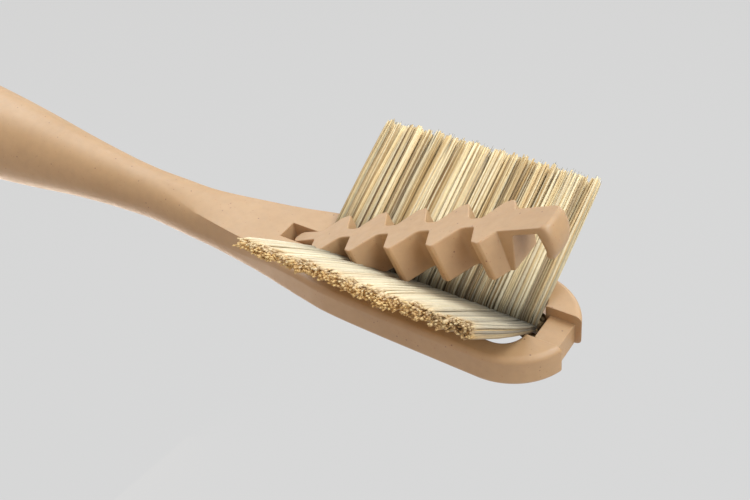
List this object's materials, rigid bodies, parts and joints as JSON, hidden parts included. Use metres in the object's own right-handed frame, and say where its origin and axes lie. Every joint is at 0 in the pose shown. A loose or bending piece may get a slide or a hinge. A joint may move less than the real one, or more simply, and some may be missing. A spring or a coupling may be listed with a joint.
{
  "type": "manual toothbrush",
  "caption": "Toothbrush with a moulded ring head, a hinged toothed clamp bar that snaps over it, and a replaceable folded bristle mat, shown open.",
  "frame": {"origin": "middle of the flat underside of the bar that closes the ring at the head's end", "axes": "+X along the brush from the handle towards the head's end, +Z out of the head on the bristle side, +Y across"},
  "size_m": [0.1897, 0.0322, 0.0241],
  "materials": {
    "moulded_plastic": "satin moulded, sparse fine specks",
    "clamp_plastic": "satin moulded",
    "binding": "matt",
    "bristles": "split plant fibre, silky"
  },
  "bodies": {
    "handle": {"handle": "moulded_plastic", "hinge_pin": "moulded_plastic"},
    "clamp": {"clamp_bar": "clamp_plastic"},
    "mat": {"crease_binding": "binding"},
    "rear_bristles": {"rear_tuft_1": "bristles", "rear_tuft_2": "bristles", "rear_tuft_3": "bristles", "rear_tuft_4": "bristles", "rear_tuft_5": "bristles", "rear_tuft_6": "bristles", "rear_tuft_7": "bristles", "rear_tuft_8": "bristles", "rear_tuft_9": "bristles"},
    "front_bristles": {"front_tuft_1": "bristles", "front_tuft_2": "bristles", "front_tuft_3": "bristles", "front_tuft_4": "bristles", "front_tuft_5": "bristles", "front_tuft_6": "bristles", "front_tuft_7": "bristles", "front_tuft_8": "bristles", "front_tuft_9": "bristles"}
  },
  "joints": [
    {"name": "clamp_hinge", "type": "hinge", "parent": "handle", "child": "clamp", "pos_m": [-0.03097, 0, 0.00269], "axis": [0, 1, 0], "range_deg": [0, 24.33]},
    {"name": "mat_slide", "type": "slide", "parent": "handle", "child": "mat", "axis": [0.9112, 0, 0.412], "range_m": [0, 0.04]},
    {"name": "rear_fold", "type": "hinge", "parent": "mat", "child": "rear_bristles", "pos_m": [-0.03097, 0.00405, 0.00433], "axis": [1, 0, 0], "range_deg": [0, 69]},
    {"name": "front_fold", "type": "hinge", "parent": "mat", "child": "front_bristles", "pos_m": [-0.03097, -0.00405, 0.00628], "axis": [-1, 0, 0], "range_deg": [0, 48.3]}
  ],
  "couplings": [
    {"joint": "rear_fold", "follows": "clamp_hinge", "ratio": 2.836},
    {"joint": "front_fold", "follows": "clamp_hinge", "ratio": 1.9852}
  ]
}
